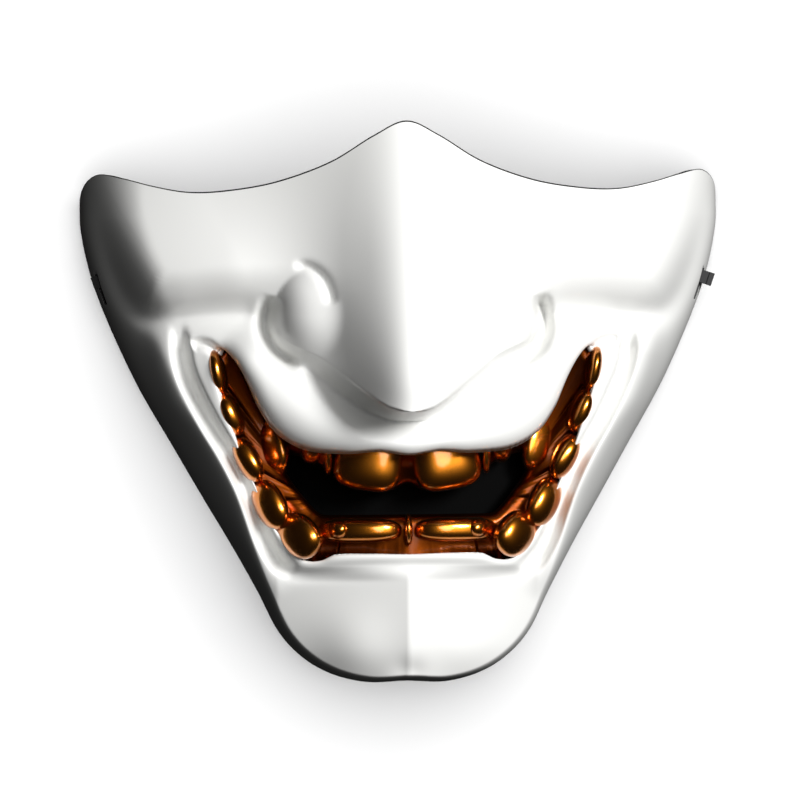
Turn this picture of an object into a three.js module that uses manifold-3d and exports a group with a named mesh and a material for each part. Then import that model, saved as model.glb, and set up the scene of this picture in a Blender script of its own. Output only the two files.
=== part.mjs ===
// A half face demon mask, nose to chin, lying on its back rim with the face up.
// Millimetres. +X is the mask's right in the picture, +Y runs up to the nose bridge, +Z out of the face.
import * as THREE from "three";
import { mergeVertices } from "three/addons/utils/BufferGeometryUtils.js";
import Module from "manifold-3d";

// Driving sizes
const maskWidth = 200;
const wall = 3;
const seatGap = 0.3;
const shortestEdge = 0.08;
const glueGap = 1;
const slotLength = 10;
const slotHeight = 3;
const slotBar = 12;
const slotDepth = 12;
const tapeWidth = 4;
const tapeThickness = 1.6;
const tapeInside = 9;
const tapeClearance = 0.5;
const foldHeight = 3;
const foldReach = 1.8;
const gumThickness = 4;
const gumOverlap = 1.2;
const liningThickness = 1;

// The carving is kept in shares of the half width, across, along and out of the face.
const half = maskWidth / 2;

// How finely the surfaces are cut
const columnStep = 0.056;
const lipRings = 6;
const faceRings = 14;
const insideEvery = 4;
const seatRing = 3;
const gumEvery = 3;
const smoothingRounds = 2;
const thinnest = 0.7;
const steepest = 0.35;
const curveSteps = 4;
const rimBlend = 3;
const browSpread = 1.35;
const toothTurns = 8;
const toothRows = 5;
const liningColumns = 12;

// The stations run from the middle of the upper lip, round the mouth corner, to the middle of the lower lip.
// Each has a point on the mouth opening, one on the main crease, one on the outline and one on the bite gap.
const stations = [
  { mouth: [0, -0.162], crease: [0, -0.027], outline: [0, 0.853], bite: [0, -0.252] },
  { mouth: [0.09, -0.15], crease: [0.08, 0.027], outline: [0.1, 0.81], bite: [0.055, -0.27] },
  { mouth: [0.19, -0.156], crease: [0.18, 0.094], outline: [0.23, 0.734], bite: [0.15, -0.252] },
  { mouth: [0.31, -0.144], crease: [0.29, 0.147], outline: [0.39, 0.679], bite: [0.25, -0.2] },
  { mouth: [0.395, -0.098], crease: [0.38, 0.195], outline: [0.54, 0.655], bite: [0.31, -0.17] },
  { mouth: [0.45, -0.024], crease: [0.455, 0.262], outline: [0.66, 0.652], bite: [0.345, -0.16] },
  { mouth: [0.49, 0.067], crease: [0.55, 0.272], outline: [0.77, 0.673], bite: [0.362, -0.162] },
  { mouth: [0.52, 0.123], crease: [0.62, 0.268], outline: [0.87, 0.702], bite: [0.368, -0.17] },
  { mouth: [0.553, 0.162], crease: [0.662, 0.258], outline: [0.945, 0.715], bite: [0.371, -0.18] },
  { mouth: [0.576, 0.168], crease: [0.684, 0.233], outline: [0.993, 0.67], bite: [0.372, -0.19] },
  { mouth: [0.588, 0.14], crease: [0.69, 0.185], outline: [1, 0.57], bite: [0.371, -0.2] },
  { mouth: [0.586, 0.1], crease: [0.683, 0.125], outline: [0.972, 0.42], bite: [0.368, -0.212] },
  { mouth: [0.572, 0.04], crease: [0.66, 0.055], outline: [0.92, 0.27], bite: [0.362, -0.225] },
  { mouth: [0.532, -0.08], crease: [0.603, -0.06], outline: [0.825, 0.06], bite: [0.346, -0.25] },
  { mouth: [0.5, -0.178], crease: [0.548, -0.15], outline: [0.72, -0.125], bite: [0.328, -0.274] },
  { mouth: [0.455, -0.28], crease: [0.5, -0.245], outline: [0.62, -0.3], bite: [0.31, -0.296] },
  { mouth: [0.422, -0.362], crease: [0.465, -0.34], outline: [0.532, -0.45], bite: [0.295, -0.314] },
  { mouth: [0.368, -0.43], crease: [0.434, -0.422], outline: [0.455, -0.59], bite: [0.28, -0.33] },
  { mouth: [0.322, -0.48], crease: [0.39, -0.492], outline: [0.392, -0.715], bite: [0.262, -0.342] },
  { mouth: [0.27, -0.483], crease: [0.335, -0.52], outline: [0.32, -0.795], bite: [0.23, -0.345] },
  { mouth: [0.22, -0.465], crease: [0.25, -0.515], outline: [0.23, -0.848], bite: [0.18, -0.345] },
  { mouth: [0.11, -0.463], crease: [0.12, -0.503], outline: [0.12, -0.875], bite: [0.09, -0.345] },
  { mouth: [0, -0.465], crease: [0, -0.498], outline: [0, -0.87], bite: [0, -0.345] },
];
const firstRimStation = 10;

// Heights down the middle of the face without its nose, and how fast the face falls away to the sides
const midHeights = [[-0.9, 0.52], [-0.75, 0.575], [-0.5, 0.61], [-0.15, 0.68], [0.05, 0.66], [0.3, 0.62],
  [0.6, 0.58], [0.95, 0.56]];
const sideFalls = [[-0.9, 1.5], [-0.75, 1.25], [-0.5, 0.85], [-0.15, 0.58], [0, 0.46], [0.45, 0.28],
  [0.95, 0.36]];
const rimRounding = 0.13;
const rimPower = 2.3;
const rimSlack = 0.001;

// The nose: its ridge, its flanks, the ball of its tip, its wings, and the crest and foot of its underside
const ridgeHeights = [[-0.1, 0.93], [0.05, 0.965], [0.2, 0.945], [0.45, 0.865], [0.7, 0.785], [0.95, 0.71]];
const flankSlopes = [[-0.1, 1.35], [0.15, 1.25], [0.35, 1.05], [0.6, 0.8], [0.9, 0.6]];
const ridgeRadius = 0.03;
const tip = { at: [0, 0.07], breadth: 0.15, rise: 0.035 };
const wing = { at: [0.275, 0.268, 0.5], radii: [0.12, 0.145, 0.2], turn: 0.3 };
const noseCrest = [[-0.036, -0.018], [0, -0.027], [0.036, -0.018], [0.096, 0.018], [0.218, 0.106],
  [0.31, 0.155], [0.38, 0.2], [0.46, 0.32]];
const noseFoot = [[-0.09, -0.037], [0, -0.052], [0.09, -0.037], [0.2, 0.037], [0.3, 0.107], [0.38, 0.145],
  [0.46, 0.26]];
const undersidePower = 1.3;

// The carved lines, each with a path, a height, a breadth, how square its section is and soft or open ends
const creaseFrom = (first, last) => stations.slice(first, last + 1).map((station) => station.crease);
const lastStation = stations.length - 1;
const firstSmileStation = 8;
const lastSmileStation = 19;
const firstChinStation = 18;
const smileLine = creaseFrom(firstSmileStation, lastSmileStation);
const chinLine = creaseFrom(firstChinStation, lastStation);
const wingLine = [[0.35, 0.43], [0.29, 0.425], [0.25, 0.4], [0.232, 0.36], [0.22, 0.31], [0.21, 0.25]];
const wingValley = [[0.4, 0.34], [0.412, 0.27], [0.408, 0.22], [0.39, 0.172], [0.362, 0.138], [0.32, 0.11]];
const muzzle = [[0.56, 0.21], [0.49, 0.12], [0.4, 0.02], [0.29, -0.06], [0.15, -0.11], [0.06, -0.12]];
const cornerLine = [[0.67, 0.17], [0.64, 0.186], [0.605, 0.18], [0.575, 0.155]];
const jawRidge = [[0.814, 0.238], [0.766, 0.176], [0.741, 0.099], [0.704, 0.006], [0.634, -0.086],
  [0.587, -0.163], [0.541, -0.24], [0.51, -0.302], [0.479, -0.41], [0.436, -0.533], [0.39, -0.62]];
const chinCleft = [[0, -0.79], [0, -0.9]];
const carvings = [
  { line: curve(wingLine), rise: -0.04, breadth: 0.028, power: 2 },
  { line: curve(wingValley), rise: -0.045, breadth: 0.034, power: 2 },
  { line: curve(muzzle), rise: 0.055, breadth: 0.085, power: 2 },
  { line: curve(smileLine), rise: -0.065, breadth: 0.024, power: 3 },
  { line: curve(chinLine), rise: -0.025, breadth: 0.025, power: 2, open: true },
  { line: curve(cornerLine), rise: -0.035, breadth: 0.016, power: 2, open: true },
  { line: curve(jawRidge), rise: 0.035, breadth: 0.045, power: 2 },
  { line: curve(chinCleft), rise: -0.025, breadth: 0.025, power: 2, open: true },
];

// The cheek bulges above a valley that curves up beside the rim
const cheekValley = curve([[0.423, 0.267], [0.5, 0.272], [0.6, 0.27], [0.6875, 0.261], [0.748, 0.268],
  [0.795, 0.2925], [0.837, 0.337], [0.868, 0.394], [0.8925, 0.457], [0.92, 0.568], [0.96, 0.76]]);
const cheek = { rise: 0.075, breadth: 0.13, power: 1.6, from: [0.36, 0.5], until: [0.35, 0.75] };

// The fold from the nose wing down to the lip, with the hollow inside it
const fold = curve([[0.44, 0.275], [0.43, 0.23], [0.42, 0.188], [0.38, 0.137], [0.35, 0.1125],
  [0.3195, 0.067], [0.283, 0.015], [0.2525, -0.018], [0.213, -0.055], [0.1675, -0.085], [0.122, -0.1155],
  [0.09, -0.14]]);
const hollow = { depth: 0.045, breadth: 0.1, from: [-0.15, -0.04] };
const chinFacet = { reach: 0.32, from: -0.53, to: -0.8 };
const chinLobe = { at: [0.17, -0.76], breadth: 0.11, rise: 0.03 };
const upperLip = { breadth: 0.05, drop: 0.035 };
const lowerLip = { breadth: 0.022, drop: 0.015 };
const lipTurn = [0.34, 0.44];

// The teeth of the right half: where each one sits, half its breadth and length, its turn and its front
const archHeights = [[0, 0.54], [0.15, 0.53], [0.3, 0.48], [0.4, 0.42], [0.5, 0.38], [0.6, 0.4]];
const teeth = [
  { at: [0.119, -0.172], reach: [0.107, 0.1], turn: -0.16, front: 0.04 },
  { at: [0.243, -0.15], reach: [0.016, 0.072], turn: 0, front: 0.045 },
  { at: [0.295, -0.12], reach: [0.038, 0.07], turn: 0.1, front: 0.03 },
  { at: [0.415, -0.13], reach: [0.055, 0.1], turn: 0.15, front: 0.03 },
  { at: [0.576, 0.096], reach: [0.028, 0.072], turn: 0.2, front: 0.06 },
  { at: [0.536, -0.033], reach: [0.034, 0.07], turn: 0.36, front: 0.07 },
  { at: [0.487, -0.172], reach: [0.038, 0.075], turn: 0.46, front: 0.07 },
  { at: [0.42, -0.311], reach: [0.05, 0.082], turn: 0.45, front: 0.09 },
  { at: [0.332, -0.406], reach: [0.062, 0.076], turn: 0.75, front: 0.11 },
  { at: [0.214, -0.388], reach: [0.036, 0.046], turn: 0, front: 0.07 },
  { at: [0.1, -0.388], reach: [0.084, 0.044], turn: 0, front: 0.06 },
];
const middleTooth = { at: [0, -0.388], reach: [0.014, 0.05], turn: 0, front: 0.065 };
const toothDepth = 0.07;
const toothPower = 2.8;
const slotAlong = 0.355;

// The black lining behind the gap between the rows of teeth
const lining = { reach: 0.38, top: -0.12, foot: -0.4, behind: 0.13 };

// Small mathematics
const clamp = (t, low = 0, high = 1) => Math.min(high, Math.max(low, t));
const mix = (a, b, t) => a + (b - a) * t;
const smooth = (low, high, t) => {
  const k = clamp((t - low) / (high - low));
  return k * k * (3 - 2 * k);
};
const softMax = (a, b, blend) => {
  const k = clamp(0.5 + (a - b) / (2 * blend));
  return mix(b, a, k) + blend * k * (1 - k);
};
const quarterRound = (t, power) => (1 - (1 - clamp(t)) ** power) ** (1 / power);

// A smooth curve through knots [place, value], flat beyond both ends
function profile(knots, at) {
  const last = knots.length - 1;
  if (at <= knots[0][0]) return knots[0][1];
  if (at >= knots[last][0]) return knots[last][1];
  const i = knots.findIndex((knot) => knot[0] > at) - 1;
  const slope = (a, b) => (knots[b][1] - knots[a][1]) / (knots[b][0] - knots[a][0]);
  const span = knots[i + 1][0] - knots[i][0];
  const t = (at - knots[i][0]) / span;
  const start = slope(Math.max(i - 1, 0), i + 1) * span;
  const end = slope(i, Math.min(i + 2, last)) * span;
  return knots[i][1] * (2 * t ** 3 - 3 * t ** 2 + 1) + start * (t ** 3 - 2 * t ** 2 + t)
    + knots[i + 1][1] * (3 * t ** 2 - 2 * t ** 3) + end * (t ** 3 - t ** 2);
}

// A share of the way from b to c on the smooth line through four points
function between([a, b, c, d], t) {
  return [0, 1].map((n) => b[n] + 0.5 * t * (c[n] - a[n] + t * (2 * a[n] - 5 * b[n] + 4 * c[n] - d[n]
    + t * (3 * (b[n] - c[n]) + d[n] - a[n]))));
}

// A finer line through the points of a path, rounded at its corners
function curve(path) {
  const beyond = (a, b) => [2 * a[0] - b[0], 2 * a[1] - b[1]];
  const points = [beyond(path[0], path[1]), ...path, beyond(path.at(-1), path.at(-2))];
  const line = [];
  for (let i = 0; i < path.length - 1; i += 1) {
    for (let k = 0; k < curveSteps; k += 1) line.push(between(points.slice(i, i + 4), k / curveSteps));
  }
  return [...line, path.at(-1)];
}

// A point on the smooth line through one kind of station point, mirrored past the middle at both ends
function stationPoint(kind, at) {
  const i = Math.min(Math.floor(at), lastStation - 1);
  const pick = (k) => {
    const [x, y] = stations[k < 0 ? -k : k > lastStation ? 2 * lastStation - k : k][kind];
    return k < 0 || k > lastStation ? [-x, y] : [x, y];
  };
  return between([i - 1, i, i + 1, i + 2].map(pick), at - i);
}

const outlinePoint = (at) => {
  const [x, y] = stationPoint("outline", at);
  return [Math.min(x, 1), y];
};

// The columns of the surface: places along the stations, evenly spread over crease and outline
function halfColumns() {
  const places = [0];
  for (let i = 0; i < stations.length - 1; i += 1) {
    const reach = (kind) => Math.hypot(...stations[i][kind].map((v, n) => v - stations[i + 1][kind][n]));
    const middling = (reach("crease") + reach("outline") + reach("mouth")) / 3;
    const parts = Math.max(1, Math.round(middling / columnStep));
    for (let k = 1; k <= parts; k += 1) places.push(i + k / parts);
  }
  return places;
}

// The nearest place on a path of straight pieces: distance, side and share of the length passed
function nearest(path, x, y) {
  let best = { distance: Infinity, side: 0, share: 0 };
  for (let i = 0; i < path.length - 1; i += 1) {
    const [ax, ay] = path[i];
    const [dx, dy] = [path[i + 1][0] - ax, path[i + 1][1] - ay];
    const t = clamp(((x - ax) * dx + (y - ay) * dy) / (dx * dx + dy * dy));
    const [ox, oy] = [x - ax - t * dx, y - ay - t * dy];
    const distance = Math.hypot(ox, oy);
    if (distance < best.distance) {
      best = { distance, side: Math.sign(dx * oy - dy * ox), share: (i + t) / (path.length - 1) };
    }
  }
  return best;
}

const stationLine = (point, from) => {
  const steps = (lastStation - from) * curveSteps;
  return Array.from({ length: steps + 1 }, (_, i) => point(from + i / curveSteps));
};
const rimLine = [[1, 1.2], ...stationLine(outlinePoint, firstRimStation)];
const mouthLine = stationLine((at) => stationPoint("mouth", at), 0);

// The height of a nose wing over the plane, or nothing outside it
function wingHeight(x, y) {
  const [dx, dy] = [x - wing.at[0], y - wing.at[1]];
  const across = (dx * Math.cos(wing.turn) - dy * Math.sin(wing.turn)) / wing.radii[0];
  const along = (dx * Math.sin(wing.turn) + dy * Math.cos(wing.turn)) / wing.radii[1];
  const inside = 1 - across * across - along * along;
  return inside > 0 ? wing.at[2] + wing.radii[2] * Math.sqrt(inside) : wing.at[2] - 1;
}

function plainHeight(x, y) {
  return profile(midHeights, y) - profile(sideFalls, y) * x * x;
}

// The share of the nose that is left below its crest, down to none at its foot
function noseCover(x, y) {
  const foot = profile(noseFoot, x);
  return clamp((y - foot) / (profile(noseCrest, x) - foot)) ** undersidePower;
}

function noseHeight(x, y, plain) {
  const flank = profile(flankSlopes, y) * (Math.hypot(x, ridgeRadius) - ridgeRadius);
  const roof = profile(ridgeHeights, y) - flank;
  const away = Math.hypot(x - tip.at[0], y - tip.at[1]) / tip.breadth;
  return softMax(wingHeight(x, y), softMax(roof, plain, 0.09) + tip.rise * Math.exp(-away * away), 0.03);
}

function carvedLines(x, y) {
  let sum = 0;
  for (const { line, rise, breadth, power, open } of carvings) {
    const { distance, share } = nearest(line, x, y);
    const ends = open ? 1 : smooth(0, 0.15, share) * smooth(0, 0.15, 1 - share);
    sum += rise * ends * Math.exp(-((distance / breadth) ** power));
  }
  return sum;
}

function cheekRise(x, y) {
  const { distance, side } = nearest(cheekValley, x, y);
  if (side <= 0) return 0;
  const bulge = cheek.rise * quarterRound(distance / cheek.breadth, cheek.power);
  return bulge * smooth(...cheek.from, x) * (1 - smooth(...cheek.until, y));
}

// The hollow between the nose and the folds that run down from its wings
function hollowRise(x, y) {
  const { distance, side } = nearest(fold, x, y);
  const t = side > 0 ? 0 : clamp(distance / hollow.breadth);
  return -hollow.depth * t * (2 - t) * smooth(...hollow.from, y);
}

// Two flat facets that meet in a ridge, over two lobes
function chinRise(x, y) {
  const along = smooth(0, 0.05, chinFacet.from - y) * smooth(0, 0.08, y - chinFacet.to);
  const facet = -profile(sideFalls, y) * x * Math.max(chinFacet.reach - x, 0) * along;
  const lobe = Math.hypot(x - chinLobe.at[0], y - chinLobe.at[1]) / chinLobe.breadth;
  return facet + chinLobe.rise * Math.exp(-lobe * lobe);
}

// The edge of the mouth rolls inward, broadly along the upper lip and narrowly elsewhere
function lipDrop(x, y) {
  const { distance, share } = nearest(mouthLine, x, y);
  const lower = smooth(...lipTurn, share);
  const breadth = mix(upperLip.breadth, lowerLip.breadth, lower);
  return mix(upperLip.drop, lowerLip.drop, lower) * (1 - quarterRound(distance / breadth, 2));
}

// The face's height over the table in shares, at a place of either half
function faceHeight(x, y) {
  const across = Math.abs(x);
  const plain = plainHeight(across, y);
  const cover = noseCover(across, y);
  const face = plain + (noseHeight(across, y, plain) - plain) * cover + carvedLines(across, y)
    + cheekRise(across, y) + hollowRise(across, y) * (1 - cover) + chinRise(across, y) - lipDrop(across, y);
  const rim = nearest(rimLine, across, y);
  const inward = rim.side < 0 || rim.distance < rimSlack ? rim.distance : 0;
  return face * quarterRound(inward / rimRounding, rimPower);
}

// Where ring number ring of a column lies between the mouth, the crease and the outline
function ringPlace(at, ring) {
  const mouth = stationPoint("mouth", at);
  const crease = stationPoint("crease", at);
  const outline = outlinePoint(at);
  if (ring <= lipRings) {
    const t = Math.sin((ring / lipRings) * Math.PI / 2);
    return [mix(mouth[0], crease[0], t), mix(mouth[1], crease[1], t)];
  }
  const t = (ring - lipRings) / faceRings;
  const beside = smooth(firstRimStation - rimBlend, firstRimStation, at);
  const share = mix(t ** browSpread, Math.sin(t * Math.PI / 2), beside);
  return [mix(crease[0], outline[0], share), mix(crease[1], outline[1], share)];
}

const bothHalves = (right) => {
  const left = right.slice(1, -1).reverse().map((point) => new THREE.Vector3(-point.x, point.y, point.z));
  return [...right, ...left];
};

// The whole outer surface as rings of points, right half first and then its mirror image
function outerRings(columns) {
  const rings = [];
  for (let ring = 0; ring <= lipRings + faceRings; ring += 1) {
    const right = columns.map((at) => {
      const [x, y] = ringPlace(at, ring);
      const point = new THREE.Vector3(x, y, faceHeight(x, y)).multiplyScalar(half);
      if (ring === lipRings + faceRings && at >= firstRimStation) point.z = 0;
      return point;
    });
    rings.push(bothHalves(right));
  }
  return rings;
}

// The direction out of the surface at one point of the rings, level where the rim stands on the table
function ringNormal(rings, ring, column) {
  const count = rings[0].length;
  const around = rings[ring][(column + 1) % count].clone().sub(rings[ring][(column + count - 1) % count]);
  if (ring === rings.length - 1 && rings[ring][column].z === 0) {
    return new THREE.Vector3(-around.y, around.x, 0).normalize();
  }
  const before = rings[Math.max(ring - 1, 0)][column];
  const after = rings[Math.min(ring + 1, rings.length - 1)][column];
  return around.cross(after.clone().sub(before)).normalize();
}

// The rings evened out, all but the first and the last
function evened(rings) {
  const count = rings[0].length;
  return rings.map((row, ring) => row.map((point, column) => {
    if (ring === 0 || ring === rings.length - 1) return point;
    return point.clone().multiplyScalar(2).add(rings[ring - 1][column]).add(rings[ring + 1][column])
      .add(row[(column + 1) % count]).add(row[(column + count - 1) % count]).divideScalar(6);
  }));
}

// The surface moved inward by a distance, evened out and kept clear of the outside
function insideRings(rings, depth, rounds) {
  const normals = rings.map((row, ring) => row.map((_, column) => ringNormal(rings, ring, column)));
  let moved = rings.map((row, ring) => row.map((point, column) => (
    point.clone().addScaledVector(normals[ring][column], -depth)
  )));
  for (let round = 0; round < rounds; round += 1) moved = evened(moved);
  for (let ring = 1; ring < moved.length - 1; ring += 1) {
    moved[ring].forEach((point, column) => {
      const below = thinnest * depth / Math.max(normals[ring][column].z, steepest);
      point.setZ(Math.min(point.z, faceHeight(point.x / half, point.y / half) * half - below));
    });
  }
  return moved;
}

// A closed band whose section is a loop of rings
function bandSolid(loop) {
  const count = loop[0].length;
  const places = loop.flatMap((ring) => ring.flatMap((p) => [p.x, p.y, p.z]));
  const faces = [];
  for (let ring = 0; ring < loop.length; ring += 1) {
    const next = (ring + 1) % loop.length;
    for (let column = 0; column < count; column += 1) {
      const [a, b] = [ring * count + column, ring * count + ((column + 1) % count)];
      const [c, d] = [next * count + column, next * count + ((column + 1) % count)];
      faces.push(a, b, c, b, d, c);
    }
  }
  const geometry = new THREE.BufferGeometry();
  geometry.setAttribute("position", new THREE.Float32BufferAttribute(places, 3));
  geometry.setIndex(faces);
  return solidOf(geometry);
}

const wasm = await Module();
wasm.setup();

function solidOf(geometry) {
  const bare = geometry.clone();
  bare.deleteAttribute("normal");
  bare.deleteAttribute("uv");
  const merged = mergeVertices(bare, 1e-4);
  const mesh = new wasm.Mesh({
    numProp: 3,
    vertProperties: new Float32Array(merged.attributes.position.array),
    triVerts: new Uint32Array(merged.index.array),
  });
  return new wasm.Manifold(mesh);
}

function geometryOf(solid) {
  const mesh = solid.getMesh();
  const geometry = new THREE.BufferGeometry();
  geometry.setAttribute("position", new THREE.BufferAttribute(new Float32Array(mesh.vertProperties), 3));
  geometry.setIndex(new THREE.BufferAttribute(new Uint32Array(mesh.triVerts), 1));
  return geometry;
}

// Half of the rounded lip edge between the outer and the inner surface
function lipEdge(outerSurface, innerSurface, reach) {
  return outerSurface[0].map((point, column) => {
    const away = point.clone().sub(outerSurface[1][column]).normalize();
    return point.clone().add(innerSurface[0][column]).divideScalar(2).addScaledVector(away, reach);
  });
}

// The shell between an outer and an inner surface, the inner one cut more coarsely
function shellSolid(outerSurface, innerSurface, edgeReach) {
  const last = innerSurface.length - 1;
  const kept = innerSurface.filter((_, ring) => ring % insideEvery === 0 || ring === last).reverse();
  return bandSolid([...outerSurface, ...kept, lipEdge(outerSurface, innerSurface, edgeReach)]);
}

// The room that the shell needs, a little larger than the shell on every side
function shellRoom(outerSurface, shellBody) {
  const over = insideRings(outerSurface, -seatGap, 0);
  const under = insideRings(outerSurface, wall + seatGap, smoothingRounds);
  over[0] = over[0].map((point, column) => {
    const away = outerSurface[0][column].clone().sub(outerSurface[1][column]).normalize();
    return point.addScaledVector(away, seatGap);
  });
  const shifts = [[seatGap, 0, 0], [-seatGap, 0, 0], [0, seatGap, 0], [0, -seatGap, 0], [0, 0, -seatGap]];
  const swept = shifts.reduce((sum, shift) => sum.add(shellBody.translate(shift)), shellBody);
  return shellSolid(over, under, wall / 3 + 2 * seatGap).add(swept);
}

// The gum band: from the bite gap to its seat behind the lip of the shell
function gumSolid(places, shellInside) {
  const bite = bothHalves(places.map((at) => {
    const [x, y] = stationPoint("bite", at);
    return new THREE.Vector3(x, y, profile(archHeights, x)).multiplyScalar(half);
  }));
  const lip = shellInside[0];
  const seat = lip.map((point, column) => {
    const behind = shellInside[seatRing][column].clone().sub(point).normalize();
    return point.clone().addScaledVector(behind, gumOverlap);
  });
  const face = [bite, bite.map((point, column) => point.clone().lerp(lip[column], 0.5)), lip, seat];
  const back = face.map((row) => row.map((point) => point.clone().setZ(point.z - gumThickness))).reverse();
  return bandSolid([...face, ...back].map((row) => row.filter((_, column) => column % gumEvery === 0)));
}

// One tooth, a ball drawn out towards a box
function toothSolid({ at, reach, turn, front }, side) {
  const geometry = new THREE.SphereGeometry(1, toothTurns, toothRows);
  const places = geometry.attributes.position;
  for (let i = 0; i < places.count; i += 1) {
    const point = new THREE.Vector3().fromBufferAttribute(places, i);
    const size = (Math.abs(point.x) ** toothPower + Math.abs(point.y) ** toothPower
      + Math.abs(point.z) ** toothPower) ** (1 / toothPower);
    point.divideScalar(size);
    places.setXYZ(i, point.x, point.y, point.z);
  }
  const centre = profile(archHeights, at[0]) + front - toothDepth;
  geometry.scale(reach[0] * half, reach[1] * half, toothDepth * half);
  geometry.rotateZ(-turn * side);
  geometry.translate(side * at[0] * half, at[1] * half, centre * half);
  return solidOf(geometry);
}

// The gum band with every tooth on it, clear of the shell; a sliver cut loose by the shell is left out
function teethSolid(places, room, shellInside) {
  let crowns = toothSolid(middleTooth, 1);
  for (const tooth of teeth) {
    crowns = crowns.add(toothSolid(tooth, 1)).add(toothSolid(tooth, -1));
  }
  const pieces = crowns.add(gumSolid(places, shellInside)).subtract(room).simplify(shortestEdge).decompose();
  return pieces.reduce((largest, piece) => (piece.volume() > largest.volume() ? piece : largest));
}

// A thin sheet bent round the backs of the teeth
function liningSolid() {
  const height = (lining.top - lining.foot) * half;
  const geometry = new THREE.BoxGeometry(2 * lining.reach * half, height, liningThickness, liningColumns);
  const places = geometry.attributes.position;
  for (let i = 0; i < places.count; i += 1) {
    const arch = profile(archHeights, Math.abs(places.getX(i)) / half) - lining.behind;
    places.setZ(i, places.getZ(i) + arch * half - liningThickness / 2);
  }
  geometry.translate(0, lining.foot * half + height / 2, 0);
  return solidOf(geometry);
}

// The place on the rim beside a strap slot and the angle of the wall there
function slotPlace() {
  let at = firstRimStation;
  while (outlinePoint(at)[1] > slotAlong) at += 0.01;
  const [x, y] = outlinePoint(at);
  const [nextX, nextY] = outlinePoint(at + 0.1);
  return { x: x * half, y: y * half, turn: Math.atan2(x - nextX, y - nextY) };
}

// A block through the wall beside the slot, from inside to outside of the outline
function wallBlock({ x, y, turn }, side, { inside, outside, length, height, along = 0 }) {
  const geometry = new THREE.BoxGeometry(inside + outside, length, height);
  geometry.translate((outside - inside) / 2, along, slotBar + slotHeight / 2);
  geometry.rotateZ(-turn).translate(x, y, 0);
  if (side < 0) geometry.rotateY(Math.PI).translate(0, 0, 2 * slotBar + slotHeight);
  return solidOf(geometry);
}

// The short end of the strap: a flat tape through the upper part of the slot
function strapTape(place, side, outside) {
  const along = (slotLength - tapeWidth) / 2 - tapeClearance;
  const size = { length: tapeWidth, height: tapeThickness };
  return wallBlock(place, side, { inside: tapeInside, outside, along, ...size });
}

// The sewn fold that stops the right tape outside the wall
function strapFold(place) {
  const along = (slotLength - tapeWidth) / 2 - tapeClearance;
  const size = { length: tapeWidth, height: foldHeight };
  return wallBlock(place, 1, { inside: -seatGap, outside: foldReach, along, ...size });
}

function named(name, solid, material) {
  const mesh = new THREE.Mesh(geometryOf(solid), material);
  mesh.name = name;
  return mesh;
}

const columns = halfColumns();
const outer = outerRings(columns);
const inner = insideRings(outer, wall, smoothingRounds);
const seatSurface = insideRings(outer, wall + glueGap, smoothingRounds);
const slot = slotPlace();
let shell = shellSolid(outer, inner, wall / 3);
const room = shellRoom(outer, shell);
for (const side of [1, -1]) {
  const opening = { inside: slotDepth, outside: wall, length: slotLength, height: slotHeight };
  shell = shell.subtract(wallBlock(slot, side, opening));
}

const whiteLacquer = new THREE.MeshStandardMaterial({ color: 0xf1f1ee, roughness: 0.35, metalness: 0 });
const goldLacquer = new THREE.MeshStandardMaterial({ color: 0xa65a16, roughness: 0.2, metalness: 0.9 });
const blackCloth = new THREE.MeshStandardMaterial({ color: 0x0a0a0a, roughness: 0.95, metalness: 0 });
const blackElastic = new THREE.MeshStandardMaterial({ color: 0x161616, roughness: 0.8, metalness: 0 });

const mask = new THREE.Group();
mask.add(named("mask_shell", shell, whiteLacquer));
mask.add(named("teeth_insert", teethSolid(columns, room, seatSurface), goldLacquer));
mask.add(named("mouth_lining", liningSolid(), blackCloth));
mask.add(named("strap_tab_right", strapTape(slot, 1, foldReach / 2).add(strapFold(slot)), blackElastic));
mask.add(named("strap_tab_left", strapTape(slot, -1, 0), blackElastic));
mask.position.y = -new THREE.Box3().setFromObject(mask).getCenter(new THREE.Vector3()).y;

export default mask;
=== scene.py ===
"""The finished look of a white half face demon mask with gold teeth, lying face up on a pale table."""

import math

import bmesh
import bpy
import numpy as np
from mathutils import Matrix, Vector


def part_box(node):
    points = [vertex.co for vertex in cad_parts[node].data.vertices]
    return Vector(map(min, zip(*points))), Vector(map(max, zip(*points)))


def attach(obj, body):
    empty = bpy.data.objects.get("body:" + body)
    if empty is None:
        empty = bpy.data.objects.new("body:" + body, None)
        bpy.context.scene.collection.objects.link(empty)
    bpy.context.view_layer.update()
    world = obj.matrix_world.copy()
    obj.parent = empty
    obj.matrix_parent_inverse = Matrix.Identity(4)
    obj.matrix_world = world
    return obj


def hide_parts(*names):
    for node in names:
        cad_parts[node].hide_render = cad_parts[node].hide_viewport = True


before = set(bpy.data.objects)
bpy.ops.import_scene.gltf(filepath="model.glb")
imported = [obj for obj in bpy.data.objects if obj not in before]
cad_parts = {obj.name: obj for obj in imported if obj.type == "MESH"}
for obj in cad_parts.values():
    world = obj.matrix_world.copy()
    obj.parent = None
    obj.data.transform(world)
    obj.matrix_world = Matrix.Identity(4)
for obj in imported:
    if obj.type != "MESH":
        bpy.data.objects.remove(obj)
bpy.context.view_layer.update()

SHELL_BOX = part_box("mask_shell")

# The carving is kept in shares of the half width, as on the solids. The wall is in metres.
HALF = (SHELL_BOX[1][0] - SHELL_BOX[0][0]) / 2
WALL = 0.003

# How finely the surfaces are cut
COLUMN_STEP = 0.0098
LIP_RINGS = 28
FACE_RINGS = 104
FACE_RING_POWER = 1.35
INSIDE_EVERY = 4
LINE_STEPS = 6
RIM_LINE_PLACES, MOUTH_LINE_PLACES = 97, 133

# How far the black of the inside is wrapped round the edge of the face
EDGE_LINE = 0.0045

# The rings of the rounded lip, and how many times its bulge goes into the wall
EDGE_RINGS = 5
LIP_FLATNESS = 2.6

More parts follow.
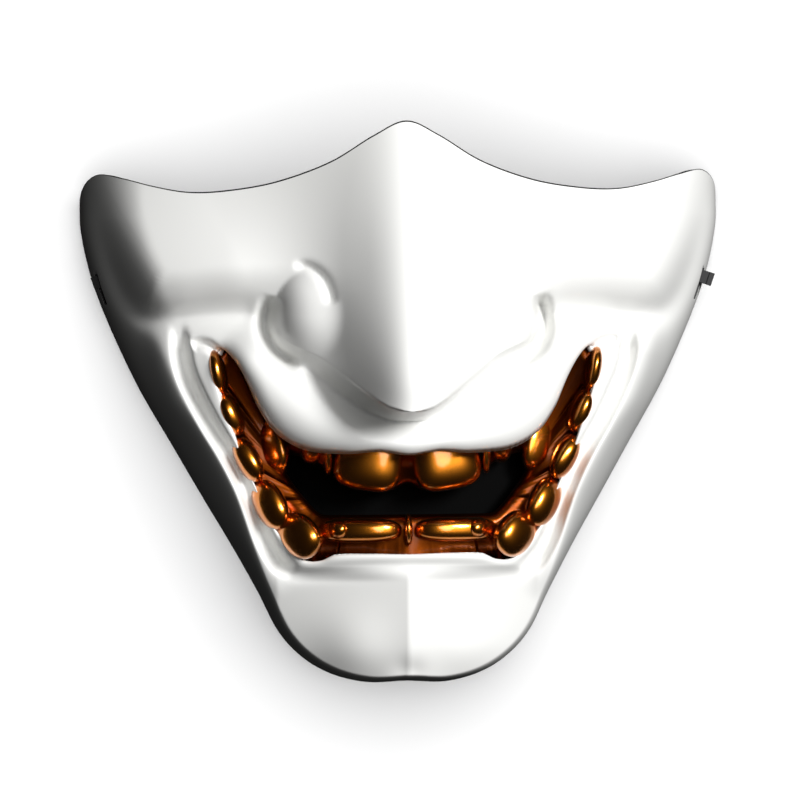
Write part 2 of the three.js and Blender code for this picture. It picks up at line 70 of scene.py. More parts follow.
# How the inner surface is evened out and kept under the face. Its first rings are kept under the lowest
# place in a small circle, because the carving is steep there.
SMOOTHING_ROUNDS = 70
THINNEST, STEEPEST = 0.7, 0.35
STEEP_RINGS, STEEP_REACH, STEEP_SIDES = 40, 0.018, 6

# Each station has a point on the mouth opening, one on the main crease, one on the outline
# and one on the bite
STATIONS = (
    ((0, -0.162), (0, -0.027), (0, 0.853), (0, -0.252)),
    ((0.09, -0.15), (0.08, 0.027), (0.1, 0.81), (0.055, -0.27)),
    ((0.19, -0.156), (0.18, 0.094), (0.23, 0.734), (0.15, -0.252)),
    ((0.31, -0.144), (0.29, 0.147), (0.39, 0.679), (0.25, -0.2)),
    ((0.395, -0.098), (0.38, 0.195), (0.54, 0.655), (0.31, -0.17)),
    ((0.45, -0.024), (0.455, 0.262), (0.66, 0.652), (0.345, -0.16)),
    ((0.49, 0.067), (0.55, 0.272), (0.77, 0.673), (0.362, -0.162)),
    ((0.52, 0.123), (0.62, 0.268), (0.87, 0.702), (0.368, -0.17)),
    ((0.553, 0.162), (0.662, 0.258), (0.945, 0.715), (0.371, -0.18)),
    ((0.576, 0.168), (0.684, 0.233), (0.993, 0.67), (0.372, -0.19)),
    ((0.588, 0.14), (0.69, 0.185), (1, 0.57), (0.371, -0.2)),
    ((0.586, 0.1), (0.683, 0.125), (0.972, 0.42), (0.368, -0.212)),
    ((0.572, 0.04), (0.66, 0.055), (0.92, 0.27), (0.362, -0.225)),
    ((0.532, -0.08), (0.603, -0.06), (0.825, 0.06), (0.346, -0.25)),
    ((0.5, -0.178), (0.548, -0.15), (0.72, -0.125), (0.328, -0.274)),
    ((0.455, -0.28), (0.5, -0.245), (0.62, -0.3), (0.31, -0.296)),
    ((0.422, -0.362), (0.465, -0.34), (0.532, -0.45), (0.295, -0.314)),
    ((0.368, -0.43), (0.434, -0.422), (0.455, -0.59), (0.28, -0.33)),
    ((0.322, -0.48), (0.39, -0.492), (0.392, -0.715), (0.262, -0.342)),
    ((0.27, -0.483), (0.335, -0.52), (0.32, -0.795), (0.23, -0.345)),
    ((0.22, -0.465), (0.25, -0.515), (0.23, -0.848), (0.18, -0.345)),
    ((0.11, -0.463), (0.12, -0.503), (0.12, -0.874), (0.09, -0.345)),
    ((0, -0.465), (0, -0.498), (0, -0.87), (0, -0.345)),
)
MOUTH, CREASE, OUTLINE, BITE = range(4)
LAST = len(STATIONS) - 1

# The rim starts at this station, and the rings turn to it over a few stations before
FIRST_RIM_STATION = 10
RIM_LEAD = 3

# Heights down the middle without the nose, and how fast the face falls away to the sides
MID_HEIGHTS = ((-0.9, 0.52), (-0.75, 0.575), (-0.5, 0.61), (-0.15, 0.68), (0.05, 0.66), (0.3, 0.62),
               (0.6, 0.58), (0.95, 0.56))
SIDE_FALLS = ((-0.9, 1.5), (-0.75, 1.25), (-0.5, 0.85), (-0.15, 0.58), (0, 0.46), (0.45, 0.28), (0.95, 0.36))
RIM_ROUNDINGS = ((-0.86, 0.035), (-0.6, 0.04), (-0.45, 0.06), (-0.3, 0.1), (0, 0.16), (0.3, 0.2), (0.6, 0.2))
RIM_POWER = 2
RIM_SLACK = 0.001

# The rounding of the rim is drawn on upward past the top corner, to this point
RIM_LINE_TOP = (1, 1.2)

# The nose: its ridge, its flanks, the ball of its tip, its wings, and the crest and foot of its underside
RIDGE_HEIGHTS = ((-0.1, 0.93), (0.05, 0.965), (0.2, 0.945), (0.45, 0.865), (0.7, 0.785), (0.95, 0.71))
FLANK_SLOPES = ((-0.1, 1.75), (0.15, 1.6), (0.35, 1.3), (0.6, 0.95), (0.9, 0.7))
RIDGE_RADIUS = 0.1
TIP_AT, TIP_BREADTH, TIP_RISE = (0, 0.07), 0.15, 0.0335
WING_AT, WING_REACH, WING_TURN = (0.27, 0.26, 0.5), (0.125, 0.15, 0.2), 0.3
ROOF_BLEND, WING_BLEND = 0.14, 0.1
NOSE_CREST = ((-0.055, -0.021), (0, -0.029), (0.055, -0.021), (0.12, 0.017), (0.2, 0.083), (0.27, 0.14),
              (0.31, 0.16), (0.38, 0.2), (0.46, 0.32))
NOSE_FOOT = ((-0.09, -0.047), (0, -0.06), (0.09, -0.047), (0.2, 0.018), (0.3, 0.088), (0.38, 0.14),
             (0.46, 0.26))
UNDERSIDE_POWER = 1.3

# The carved lines: a path, a rise, a breadth, how square the section is and whether its ends stay open
WING_LINE = (((0.345, 0.42), (0.3, 0.415), (0.262, 0.385), (0.24, 0.34), (0.23, 0.29)),
             -0.02, 0.014, 2, False)
WING_VALLEY = (((0.405, 0.33), (0.423, 0.28), (0.43, 0.225), (0.41, 0.176), (0.378, 0.146), (0.32, 0.112)),
               -0.1, 0.02, 2, False)
MUZZLE = (((0.56, 0.21), (0.49, 0.12), (0.4, 0.02), (0.29, -0.06), (0.15, -0.11), (0, -0.122), (-0.15, -0.11),
           (-0.29, -0.06)), 0.05, 0.085, 2, False)
SMILE_LINE = (((0.7, 0.26), *(station[CREASE] for station in STATIONS[10:20])), -0.065, 0.024, 3, False)
CHIN_LINE = (tuple(station[CREASE] for station in STATIONS[18:]), -0.015, 0.025, 2, True)
CORNER_LINE = (((0.655, 0.178), (0.635, 0.186), (0.605, 0.18), (0.575, 0.155)), -0.03, 0.014, 2, False)
JAW_RIDGE = (((0.814, 0.238), (0.766, 0.176), (0.741, 0.099), (0.704, 0.006), (0.634, -0.086),
              (0.587, -0.163), (0.541, -0.24), (0.51, -0.302), (0.479, -0.41), (0.436, -0.533),
              (0.39, -0.62)),
             0.035, 0.045, 2, False)
CHIN_CLEFT = (((0, -0.83), (0, -0.9)), -0.02, 0.045, 2, True)
CARVINGS = (WING_LINE, WING_VALLEY, MUZZLE, SMILE_LINE, CHIN_LINE, CORNER_LINE, JAW_RIDGE, CHIN_CLEFT)
LINE_FADE = 0.15

# The cheek bulges above a valley that curves up beside the rim, and both fade out towards the nose
# and the top edge
CHEEK_VALLEY = ((0, 0.26), (0.2, 0.262), (0.423, 0.267), (0.5, 0.272), (0.6, 0.27), (0.6875, 0.261),
                (0.765, 0.262), (0.82, 0.28), (0.865, 0.33), (0.895, 0.39), (0.92, 0.455), (0.95, 0.568),
                (0.98, 0.76))
CHEEK_RISE, CHEEK_BREADTH, CHEEK_START, CHEEK_TOP = 0.07, 0.16, (0.12, 0.55), (0.35, 0.75)
VALLEY_DEPTH, VALLEY_BREADTH, VALLEY_START = 0.04, 0.045, (0.36, 0.5)

# The fold from the nose wing down to the lip, with the hollow inside it
FOLD = ((0.44, 0.275), (0.43, 0.23), (0.42, 0.188), (0.38, 0.137), (0.35, 0.1125), (0.3195, 0.067),
        (0.283, 0.015), (0.2525, -0.018), (0.213, -0.055), (0.1675, -0.085), (0.122, -0.1155), (0.06, -0.14),
        (-0.06, -0.16))
HOLLOW_DEPTH, HOLLOW_BREADTH, HOLLOW_FOOT = 0.045, 0.1, (-0.15, -0.04)

# The chin: the breadth of its facets, the heights where they start and end, and its lobes
CHIN_FACET, CHIN_TOP, CHIN_FOOT = 0.4, -0.5, -0.95
CHIN_TOP_FADE, CHIN_FOOT_FADE = 0.05, 0.08
CHIN_LOBE_AT, CHIN_LOBE_BREADTH, CHIN_LOBE_RISE = (0.17, -0.76), 0.11, 0.03

# How the edge of the mouth rolls in: upper and lower lip, and where along the mouth one becomes the other
LIP_BREADTHS, LIP_DROPS, LIP_TURN = (0.05, 0.022), (0.035, 0.015), (0.34, 0.44)

# The strap slots, in metres, how far up the rim they sit, and how finely the rim is followed to place them
SLOT_LENGTH, SLOT_HEIGHT, SLOT_BAR, SLOT_DEPTH = 0.01, 0.003, 0.012, 0.012
SLOT_ALONG = 0.355
SLOT_LINE_PLACES, SLOT_CHORD = 1301, 10

# The crowns of the right half: place, half breadth and length, turn, front over the arch and how square
ARCH_HEIGHTS = ((0, 0.54), (0.15, 0.53), (0.3, 0.48), (0.4, 0.42), (0.5, 0.38), (0.6, 0.4))
UPPER_CROWNS = (
    ((0.119, -0.172), (0.107, 0.1), -0.16, 0.06, 3.4),
    ((0.243, -0.15), (0.016, 0.072), 0, 0.06, 2.4),
    ((0.295, -0.12), (0.038, 0.07), 0.1, 0.03, 2.4),
    ((0.415, -0.13), (0.055, 0.1), 0.15, 0.03, 2.6),
)
SIDE_CROWNS = (
    ((0.576, 0.096), (0.028, 0.072), 0.2, 0.14, 2.2),
    ((0.536, -0.033), (0.034, 0.07), 0.36, 0.155, 2.2),
    ((0.487, -0.172), (0.038, 0.075), 0.46, 0.155, 2.2),
    ((0.42, -0.311), (0.05, 0.082), 0.45, 0.13, 2.2),
    ((0.332, -0.406), (0.062, 0.076), 0.75, 0.11, 2.3),
)
LOWER_CROWNS = (
    ((0.146, -0.392), (0.127, 0.038), 0, 0.055, 3),
    ((0.214, -0.388), (0.036, 0.034), 0, 0.07, 2.2),
)
MIDDLE_CROWN = ((0, -0.392), (0.014, 0.05), 0, 0.065, 2.4)
CROWN_DEPTH = 0.07
CROWN_TURNS, CROWN_ROWS = 64, 36

# The gum runs from its seat on some rings of the inner surface to the bite gap, with a rounded edge there
GUM_RINGS = 12
GUM_THICKNESS = 0.004
GUM_SAG = 0.002
GUM_RISE = 2.5
GUM_EDGE = 1 / 4
SEAT_RINGS = (14, 11, 8, 5, 2)
GLUE_GAP = 0.001

STRAP_TABS = ("strap_tab_left", "strap_tab_right")

# The studio: each lamp has a place, a point it is turned to, a size and a power
KEY_LAMP = ((0.72, 0.42, 1.28), (0, 0, 0.03), 0.5, 29.5)
FILL_LAMP = ((0.3, 0.25, 1.75), (0, 0, 0.03), 0.8, 7.5)
TABLE_LAMP = ((0.2, 0.2, 2.2), (0, 0, 0), 4, 115)
WORLD_STRENGTH = 0.012
FLOOR_SIZE, FLOOR_DROP = 6, 0.0002

# The camera looks down from far above, so that the view is nearly without perspective
CAMERA_HEIGHT = 2.0
CAMERA_SENSOR = 36
FRAME_WIDTH = 0.2516
CAMERA_AIM = 0.0017
CAMERA_ROLL = math.radians(-0.6)
CAMERA_YAW = math.radians(-2.2)


def smooth(low, high, t):
    """From 0 at low to 1 at high, with soft ends."""
    k = np.clip((t - low) / (high - low), 0, 1)
    return k * k * (3 - 2 * k)


def mix(a, b, t):
    """From a to b as t goes from 0 to 1."""
    return a + (b - a) * t


def soft_max(a, b, blend):
    """The higher of two heights, with the crease between them filled over the width of blend."""
    k = np.clip(0.5 + (a - b) / (2 * blend), 0, 1)
    return mix(b, a, k) + blend * k * (1 - k)


def quarter_round(t, power):
    """From 0 to 1 along a quarter of a rounded corner, steep at the start."""
    return (1 - (1 - np.clip(t, 0, 1)) ** power) ** (1 / power)


def profile(knots, at):
    """A smooth curve through knots of place and value, flat beyond both ends."""
    places, values = np.array(knots, float).T
    slopes = np.empty(len(values))
    slopes[1:-1] = (values[2:] - values[:-2]) / (places[2:] - places[:-2])
    slopes[0] = (values[1] - values[0]) / (places[1] - places[0])
    slopes[-1] = (values[-1] - values[-2]) / (places[-1] - places[-2])
    at = np.clip(at, places[0], places[-1])
    i = np.clip(np.searchsorted(places, at, side="right") - 1, 0, len(places) - 2)
    span = places[i + 1] - places[i]
    t = (at - places[i]) / span
    return (values[i] * (2 * t**3 - 3 * t**2 + 1) + slopes[i] * span * (t**3 - 2 * t**2 + t)
            + values[i + 1] * (3 * t**2 - 2 * t**3) + slopes[i + 1] * span * (t**3 - t**2))


def spline(a, b, c, d, t):
    """Places on the smooth curve from b to c that comes from a and goes on to d."""
    return b + 0.5 * t * (c - a + t * (2 * a - 5 * b + 4 * c - d + t * (3 * (b - c) + d - a)))


def station_points(kind, places):
    """Points on the smooth line through one kind of station point, mirrored past the middle at both ends."""
    points = np.array([station[kind] for station in STATIONS], float)
    mirror = np.array([-1, 1])
    points = np.concatenate([[points[1] * mirror], points, [points[-2] * mirror]])
    places = np.asarray(places, float)
    i = np.minimum(places.astype(int), LAST - 1)
    t = (places - i)[:, None]
    return spline(*(points[i + k] for k in range(4)), t)


def outline_points(places):
    """Points on the outline, kept inside the half width."""
    points = station_points(OUTLINE, places)
    return np.stack([np.minimum(points[:, 0], 1), points[:, 1]], axis=1)


def half_columns(step):
    """Places along the stations, evenly spread over mouth, crease and outline."""
    places = [0.0]
    for i in range(LAST):
        lines = (MOUTH, CREASE, OUTLINE)
        spans = [math.dist(STATIONS[i][kind], STATIONS[i + 1][kind]) for kind in lines]
        parts = max(1, round(sum(spans) / len(spans) / step))
        places += [i + k / parts for k in range(1, parts + 1)]
    return np.array(places)


def nearest(path, x, y):
    """Distance, side and share of the length passed at the nearest place on a path of straight pieces."""
    distance, side, share = np.full(x.shape, np.inf), np.zeros(x.shape), np.zeros(x.shape)
    for i, ((ax, ay), (bx, by)) in enumerate(zip(path[:-1], path[1:])):
        dx, dy = bx - ax, by - ay
        t = np.clip(((x - ax) * dx + (y - ay) * dy) / (dx * dx + dy * dy), 0, 1)
        ox, oy = x - ax - t * dx, y - ay - t * dy
        here = np.hypot(ox, oy)
        nearer = here < distance
        distance = np.where(nearer, here, distance)
        side = np.where(nearer, np.sign(dx * oy - dy * ox), side)
        share = np.where(nearer, (i + t) / (len(path) - 1), share)
    return distance, side, share


def curve(path):
    """A finer line through the points of a path, rounded at its corners."""
    points = np.array(path, float)
    points = np.concatenate([[2 * points[0] - points[1]], points, [2 * points[-1] - points[-2]]])
    t = (np.arange(LINE_STEPS) / LINE_STEPS)[:, None]
    line = []
    for corners in zip(points[:-3], points[1:-2], points[2:-1], points[3:]):
        line.extend(spline(*corners, t))
    return np.array([*line, points[-2]])


RIM_PLACES = np.linspace(FIRST_RIM_STATION, LAST, RIM_LINE_PLACES)
RIM_LINE = np.concatenate([[RIM_LINE_TOP], outline_points(RIM_PLACES)])
MOUTH_LINE = station_points(MOUTH, np.linspace(0, LAST, MOUTH_LINE_PLACES))


def wing_height(x, y):
    """The ball of the nose wing, and a height far below the face outside it."""
    (cx, cy, cz), (rx, ry, rz) = WING_AT, WING_REACH
    across = ((x - cx) * math.cos(WING_TURN) - (y - cy) * math.sin(WING_TURN)) / rx
    along = ((x - cx) * math.sin(WING_TURN) + (y - cy) * math.cos(WING_TURN)) / ry
    inside = 1 - across**2 - along**2
    return np.where(inside > 0, cz + rz * np.sqrt(np.maximum(inside, 0)), cz - 1)


def plain_height(x, y):
    """The curved face without nose, mouth and carving."""
    return profile(MID_HEIGHTS, y) - profile(SIDE_FALLS, y) * x * x


def nose_cover(x, y):
    """The share of the nose that is left below its crest, down to none at its foot."""
    foot = profile(NOSE_FOOT, x)
    return np.clip((y - foot) / (profile(NOSE_CREST, x) - foot), 0, 1) ** UNDERSIDE_POWER


def nose_height(x, y, plain):
    """The roof of the nose with its tip and wings, blended into the plain face."""
    roof = profile(RIDGE_HEIGHTS, y) - profile(FLANK_SLOPES, y) * (np.hypot(x, RIDGE_RADIUS) - RIDGE_RADIUS)
    tip = TIP_RISE * np.exp(-((x - TIP_AT[0]) ** 2 + (y - TIP_AT[1]) ** 2) / TIP_BREADTH**2)
    return soft_max(wing_height(x, y), soft_max(roof, plain, ROOF_BLEND) + tip, WING_BLEND)


def carved_lines(x, y):
    """The sum of all carved lines, each faded out over a share of its length unless its ends are open."""
    rise = 0
    for path, height, breadth, power, open_ends in CARVINGS:
        distance, _, share = nearest(curve(path), x, y)
        ends = 1 if open_ends else smooth(0, LINE_FADE, share) * smooth(0, LINE_FADE, 1 - share)
        rise = rise + height * ends * np.exp(-((distance / breadth) ** power))
    return rise


def cheek_rise(x, y):
    """The bulge of the cheek less the valley under it."""
    distance, side, _ = nearest(curve(CHEEK_VALLEY), x, y)
    bulge = CHEEK_RISE * smooth(0, CHEEK_BREADTH, np.where(side > 0, distance, 0)) * smooth(*CHEEK_START, x)
    valley = VALLEY_DEPTH * np.exp(-((distance / VALLEY_BREADTH) ** 2)) * smooth(*VALLEY_START, x)
    return (bulge - valley) * (1 - smooth(*CHEEK_TOP, y))


def hollow_rise(x, y):
    """The hollow between the nose and the folds that run down from its wings."""
    distance, side, _ = nearest(curve(FOLD), x, y)
    t = np.clip(np.where(side > 0, 0, distance) / HOLLOW_BREADTH, 0, 1)
    return -HOLLOW_DEPTH * t * (2 - t) * smooth(*HOLLOW_FOOT, y)


def chin_rise(x, y):
    """Two flat facets that meet in a ridge, over two lobes."""
    along = smooth(0, CHIN_TOP_FADE, CHIN_TOP - y) * smooth(0, CHIN_FOOT_FADE, y - CHIN_FOOT)
    facet = -profile(SIDE_FALLS, y) * x * np.maximum(CHIN_FACET - x, 0) * along
    lobe = np.hypot(x - CHIN_LOBE_AT[0], y - CHIN_LOBE_AT[1]) / CHIN_LOBE_BREADTH
    return facet + CHIN_LOBE_RISE * np.exp(-lobe * lobe)


def lip_drop(x, y):
    """The edge of the mouth rolls inward, broadly along the upper lip and narrowly elsewhere."""
    distance, _, share = nearest(MOUTH_LINE, x, y)
    lower = smooth(*LIP_TURN, share)
    breadth = mix(*LIP_BREADTHS, lower)
    return mix(*LIP_DROPS, lower) * (1 - quarter_round(distance / breadth, 2))


def face_points(x, y):
    """The outer surface over the table at places of the right half."""
    plain = plain_height(x, y)
    cover = nose_cover(x, y)
    nose = (nose_height(x, y, plain) - plain) * cover
    face = (plain + nose + carved_lines(x, y) + cheek_rise(x, y) + hollow_rise(x, y) * (1 - cover)
            + chin_rise(x, y) - lip_drop(x, y))
    rim, side, _ = nearest(RIM_LINE, x, y)
    rim = np.where((side < 0) | (rim < RIM_SLACK), rim, 0)
    height = face * quarter_round(rim / profile(RIM_ROUNDINGS, y), RIM_POWER)
    return np.stack([x, y, height], axis=-1) * HALF


def ring_places(columns):
    """Places between mouth, crease and outline, one row for each ring.

    The rings crowd towards the rim, and towards the crease under the top edge. The last ring but one is
    where the black of the edge ends, so along the top it lies close to the outline.
    """
    mouth, crease = (station_points(kind, columns) for kind in (MOUTH, CREASE))
    outline = outline_points(columns)
    beside = smooth(FIRST_RIM_STATION - RIM_LEAD, FIRST_RIM_STATION, columns)[:, None]
    rows = []
    for ring in range(LIP_RINGS + 1):
        rows.append(mix(mouth, crease, math.sin(ring / LIP_RINGS * math.pi / 2)))
    for ring in range(1, FACE_RINGS + 1):
        t = ring / FACE_RINGS
        rows.append(mix(crease, outline, mix(t**FACE_RING_POWER, math.sin(t * math.pi / 2), beside)))
    reach = np.linalg.norm(outline - crease, axis=1, keepdims=True)
    halfway = mix(rows[-2], outline, 0.5)
    edge_line = mix(outline, crease, EDGE_LINE / reach)
    rows.insert(-1, np.where(beside > 0, halfway, edge_line))
    return np.array(rows)


def both_halves(right):
    """A ring of points from the right half and its mirror image."""
    left = right[..., 1:-1, :][..., ::-1, :] * np.array([-1, 1, 1])
    return np.concatenate([right, left], axis=-2)


def outer_rings(columns):
    """The rings of the outer surface, with the rim set down flat on the table."""
    places = ring_places(columns)
    points = face_points(places[..., 0], places[..., 1])
    points[-1, columns >= FIRST_RIM_STATION, 2] = 0
    return both_halves(points)


def ring_normals(rings):
    """Outward directions at the points of the rings, level with the table along the rim."""
    around = np.roll(rings, -1, axis=1) - np.roll(rings, 1, axis=1)
    outward = np.concatenate([rings[1:2] - rings[:1], rings[2:] - rings[:-2], rings[-1:] - rings[-2:-1]])
    normals = np.cross(around, outward)
    flat = rings[-1, :, 2] == 0
    normals[-1, flat] = np.stack([-around[-1, flat, 1], around[-1, flat, 0], np.zeros(flat.sum())], axis=1)
    return normals / np.linalg.norm(normals, axis=2, keepdims=True)


def lowest_near(points):
    """The lowest height of the face in a small circle around each point."""
    x, y = np.abs(points[..., 0]) / HALF, points[..., 1] / HALF
    lowest = face_points(x, y)[..., 2]
    for side in range(STEEP_SIDES):
        angle = side * math.tau / STEEP_SIDES
        beside = np.abs(x + STEEP_REACH * math.cos(angle))
        lowest = np.minimum(lowest, face_points(beside, y + STEEP_REACH * math.sin(angle))[..., 2])
    return lowest


def inside_rings(rings, depth):
    """The surface moved inward, evened out and kept clear of the outside."""
    normals = ring_normals(rings)
    moved = rings - depth * normals
    for _ in range(SMOOTHING_ROUNDS):
        even = (2 * moved + np.roll(moved, 1, axis=1) + np.roll(moved, -1, axis=1)) / 6
        moved[1:-1] = even[1:-1] + (moved[2:] + moved[:-2]) / 6
    over = face_points(np.abs(moved[..., 0]) / HALF, moved[..., 1] / HALF)[..., 2]
    over[:STEEP_RINGS] = lowest_near(moved[:STEEP_RINGS])
    highest = over - THINNEST * depth / np.maximum(normals[..., 2], STEEPEST)
    for shift in (1, 2, -1, -2):
        highest[2:-2] = np.minimum(highest[2:-2], np.roll(highest, shift, axis=0)[2:-2])
    moved[:-1, :, 2] = np.minimum(moved[..., 2], highest)[:-1]
    return moved


def lip_edge(outer, inner):
    """Rings of the rounded lip from the inner surface back to the outer one."""
    away = outer[0] - outer[1]
    away /= np.linalg.norm(away, axis=1, keepdims=True)
    middle, arm = (outer[0] + inner[0]) / 2, (inner[0] - outer[0]) / 2
    angles = [math.pi * k / (EDGE_RINGS + 1) for k in range(1, EDGE_RINGS + 1)]
    return [middle + arm * math.cos(a) + away * WALL / LIP_FLATNESS * math.sin(a) for a in angles]


def centred(points):
    """The same shift along the face that puts the solids' origin under the middle of their box."""
    return points + np.array([0, SHELL_BOX[0][1] - RAW_FOOT, 0])


def new_object(name, points, faces):
    """A smooth shaded mesh object in the solids' frame."""
    mesh = bpy.data.meshes.new(name)
    mesh.from_pydata(centred(points).tolist(), [], faces)
    mesh.update()
    mesh.shade_smooth()
    thing = bpy.data.objects.new(name, mesh)
    bpy.context.collection.objects.link(thing)
    return thing


def band(loop):
    """Points and faces of a closed band whose section is a loop of rings, and the ring of each face."""
    rings = np.array(loop)
    rows, count = rings.shape[:2]
    ring, column = np.divmod(np.arange(rows * count), count)
    after, beside = (ring + 1) % rows, (column + 1) % count
    faces = np.stack([ring * count + column, ring * count + beside, after * count + beside,
                      after * count + column], axis=1)
    return rings.reshape(-1, 3), faces.tolist(), ring


def new_material(name, color, roughness, metallic=0.0, coat=0.0, coat_roughness=0.1):
    material = bpy.data.materials.new(name)
    material.use_nodes = True
    shader = material.node_tree.nodes["Principled BSDF"]
    shader.inputs["Base Color"].default_value = (*color, 1)
    shader.inputs["Roughness"].default_value = roughness
    shader.inputs["Metallic"].default_value = metallic
    shader.inputs["Coat Weight"].default_value = coat
    shader.inputs["Coat Roughness"].default_value = coat_roughness
    return material


def white_lacquer():
    return new_material("white_lacquer", (0.83, 0.83, 0.81), 0.34, coat=0.35, coat_roughness=0.2)


def black_inside():
    return new_material("black_inside", (0.012, 0.012, 0.012), 0.6)


def gold_lacquer():
    return new_material("gold_lacquer", (0.62, 0.2, 0.014), 0.26, metallic=1.0, coat=1.0, coat_roughness=0.08)


def gold_painted_shade():
    """The gold lacquer made darker on the gum behind and between the crowns: painted shade for the shadow
    that falls in these recesses.
    """
    return new_material("gold_painted_shade", (0.15, 0.03, 0.002), 0.3, metallic=1.0, coat=0.2, coat_roughness=0.08)


def black_elastic():
    return new_material("black_elastic", (0.015, 0.015, 0.016), 0.75)


def black_cloth():
    material = new_material("black_cloth", (0.003, 0.003, 0.003), 1.0)
    material.node_tree.nodes["Principled BSDF"].inputs["Specular IOR Level"].default_value = 0
    return material


def finish_solid(node, material):
    """A solid of the part that keeps its shape and gets a finer finish."""
    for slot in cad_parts[node].material_slots:
        slot.material = material


def dress(thing, node, slot, *materials):
    """The thing stands for a solid of the part and wears these finishes."""
    for material in materials:
        thing.data.materials.append(material)
    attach(thing, "root")
    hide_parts(node)


def cut_slot(shell, side):
    """The slot for the strap, cut through the wall at the rim."""
    places = np.linspace(FIRST_RIM_STATION, LAST, SLOT_LINE_PLACES)
    rim = centred(np.pad(outline_points(places) * HALF, ((0, 0), (0, 1))))
    at = np.argmax(rim[:, 1] < centred(np.array([0, SLOT_ALONG * HALF, 0]))[1])
    dx, dy = (rim[at] - rim[at + SLOT_CHORD])[:2]
    bpy.ops.mesh.primitive_cube_add(size=1)
    cutter = bpy.context.active_object
    block = Matrix.Translation(((WALL - SLOT_DEPTH) / 2, 0, SLOT_BAR + SLOT_HEIGHT / 2))
    size = Matrix.Diagonal((WALL + SLOT_DEPTH, SLOT_LENGTH, SLOT_HEIGHT, 1))
    place = Matrix.Translation((rim[at, 0], rim[at, 1], 0)) @ Matrix.Rotation(-math.atan2(dx, dy), 4, "Z")
    cutter.data.transform(Matrix.Diagonal((side, 1, 1, 1)) @ place @ block @ size)
    if side < 0:
        cutter.data.flip_normals()
    cutter.data.materials.append(shell.data.materials[1])
    cut = shell.modifiers.new("slot", "BOOLEAN")
    cut.operation = "DIFFERENCE"
    cut.solver = "MANIFOLD"
    cut.object = cutter
    with bpy.context.temp_override(object=shell, active_object=shell):
        bpy.ops.object.modifier_apply(modifier=cut.name)
    bpy.data.objects.remove(cutter)


def shell_object(outer, inner):
    """The shell as one closed band of outer surface, thinned inner surface and lip, with its slots cut."""
    kept = [inner[i] for i in range(len(inner)) if i % INSIDE_EVERY == 0 or i == len(inner) - 1]
    points, faces, ring = band([*outer, *kept[::-1], *lip_edge(outer, inner)[::-1]])
    shell = new_object("mask_shell_fine", points, faces)
    dress(shell, "mask_shell", "shell", white_lacquer(), black_inside())
    last_outer = len(outer) - 1
    inside = (ring >= last_outer - 1) & (ring < last_outer + len(kept))
    shell.data.polygons.foreach_set("material_index", inside.astype(np.int32))
    for side in (1, -1):
        cut_slot(shell, side)
    return shell


def ball():
    """Points and faces of a ball of radius one with its poles along the tooth."""
    shape = bmesh.new()
    bmesh.ops.create_uvsphere(shape, u_segments=CROWN_TURNS, v_segments=CROWN_ROWS, radius=1)
    points = np.array([(v.co.x, -v.co.z, v.co.y) for v in shape.verts])
    faces = [[v.index for v in face.verts] for face in shape.faces]
    shape.free()
    return points, faces


def crown_points(points, crown, side):
    """The ball drawn out towards a box, turned and bent along the arch."""
    at, reach, turn, front, power = crown
    points = points / (np.abs(points) ** power).sum(axis=1, keepdims=True) ** (1 / power)
    x, y = points[:, 0] * reach[0], points[:, 1] * reach[1]
    across = at[0] + x * math.cos(turn) + y * math.sin(turn)
    along = at[1] - x * math.sin(turn) + y * math.cos(turn)
    height = profile(ARCH_HEIGHTS, np.abs(across)) + front + CROWN_DEPTH * (points[:, 2] - 1)
    return np.stack([side * across, along, height], axis=1) * HALF


def gum_rings(seat_surface):
    """Rings of the gum from its seat behind the lip to the bite gap and back."""
    bite = station_points(BITE, COLUMNS)
    arch = profile(ARCH_HEIGHTS, bite[:, 0]) - GUM_SAG / HALF
    bite = both_halves(np.column_stack([bite, arch]) * HALF)
    lip = seat_surface[0]
    face = [seat_surface[ring] for ring in SEAT_RINGS]
    for ring in range(GUM_RINGS, -1, -1):
        t = ring / GUM_RINGS
        row = mix(bite, lip, t)
        row[:, 2] = mix(bite[:, 2], lip[:, 2], t**GUM_RISE)
        row[:, 2] -= GUM_THICKNESS / 2 * (1 - quarter_round(t / GUM_EDGE, 2))
        face.append(row)
    back = [row - np.array([0, 0, GUM_THICKNESS]) for row in face[:-1]]
    return [*face, *back[::-1]]


def teeth_object(seat_surface):
    """The gum with all crowns of both halves."""
    points, faces, _ = band(gum_rings(seat_surface)[::-1])
    groups, total, gum_faces = [points], len(points), len(faces)
    ball_points, ball_faces = ball()
    for crown in (MIDDLE_CROWN, *UPPER_CROWNS, *SIDE_CROWNS, *LOWER_CROWNS):
        for side in (1,) if crown is MIDDLE_CROWN else (1, -1):
            groups.append(crown_points(ball_points, crown, side))
            faces += [[total + i for i in face[::side]] for face in ball_faces]
            total += len(ball_points)
    teeth = new_object("teeth_insert_fine", np.concatenate(groups), faces)
    dress(teeth, "teeth_insert", "teeth", gold_lacquer(), gold_painted_shade())
    # The gum faces get the second, darker gold: painted shade in the recesses behind and between the crowns.
    teeth.data.polygons.foreach_set("material_index", (np.arange(len(faces)) < gum_faces).astype(np.int32))
    return teeth


COLUMNS = half_columns(COLUMN_STEP)
OUTER = outer_rings(COLUMNS)
RAW_FOOT = OUTER[..., 1].min()
shell = shell_object(OUTER, inside_rings(OUTER, WALL))
teeth = teeth_object(inside_rings(OUTER, WALL + GLUE_GAP))
finish_solid("mouth_lining", black_cloth())
strap_finish = black_elastic()
for tab in STRAP_TABS:
    finish_solid(tab, strap_finish)


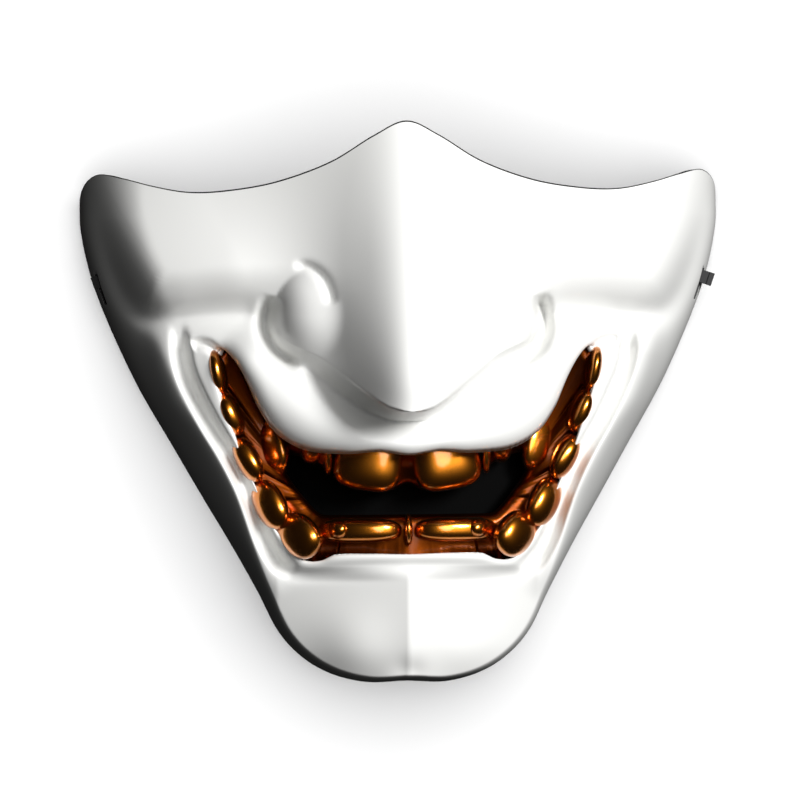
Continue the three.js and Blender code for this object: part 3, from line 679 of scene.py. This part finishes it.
def area_light(name, at, toward, size, power):
    """A round soft lamp turned towards a point."""
    lamp = bpy.data.lights.new(name, "AREA")
    lamp.shape = "DISK"
    lamp.size = size
    lamp.energy = power
    thing = bpy.data.objects.new(name, lamp)
    thing.location = at
    thing.rotation_euler = (Vector(toward) - Vector(at)).to_track_quat("-Z", "Y").to_euler()
    bpy.context.collection.objects.link(thing)
    return thing


def light_only(lamp, name, things):
    """The lamp lights these things and nothing else."""
    group = bpy.data.collections.new(name)
    for thing in things:
        group.objects.link(thing)
    lamp.light_linking.receiver_collection = group


def table_floor():
    """A pale floor that throws no light back, so the flank turned from the lamps stays dark."""
    bpy.ops.mesh.primitive_plane_add(size=FLOOR_SIZE, location=(0, 0, -FLOOR_DROP))
    floor = bpy.context.active_object
    floor.name = "floor"
    floor.data.materials.append(new_material("floor_white", (0.9, 0.9, 0.9), 0.8))
    floor.visible_diffuse = False
    floor.visible_glossy = False
    return floor


def camera_above():
    """The camera over the middle of the mask, with the photograph's small roll and turn."""
    lens = bpy.data.cameras.new("camera")
    lens.sensor_width = CAMERA_SENSOR
    lens.lens = CAMERA_SENSOR * CAMERA_HEIGHT / FRAME_WIDTH
    camera = bpy.data.objects.new("camera", lens)
    look_at = Vector((0, CAMERA_AIM, 0))
    turn = Matrix.Rotation(CAMERA_ROLL, 4, "Z") @ Matrix.Rotation(CAMERA_YAW, 4, "Y")
    camera.matrix_world = Matrix.Translation(look_at) @ turn @ Matrix.Translation((0, 0, CAMERA_HEIGHT))
    bpy.context.collection.objects.link(camera)
    bpy.context.scene.camera = camera
    return camera


world = bpy.data.worlds.new("studio")
bpy.context.scene.world = world
world.use_nodes = True
background = world.node_tree.nodes["Background"]
background.inputs["Color"].default_value = (1, 1, 1, 1)
background.inputs["Strength"].default_value = WORLD_STRENGTH
floor = table_floor()
camera_above()
mask_parts = [shell, teeth, *(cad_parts[node] for node in ("mouth_lining", *STRAP_TABS))]
light_only(area_light("key", *KEY_LAMP), "lit_by_key", mask_parts)
light_only(area_light("fill", *FILL_LAMP), "lit_by_fill", mask_parts)
light_only(area_light("table", *TABLE_LAMP), "lit_by_table", [floor])
bpy.context.scene.view_settings.view_transform = "Standard"
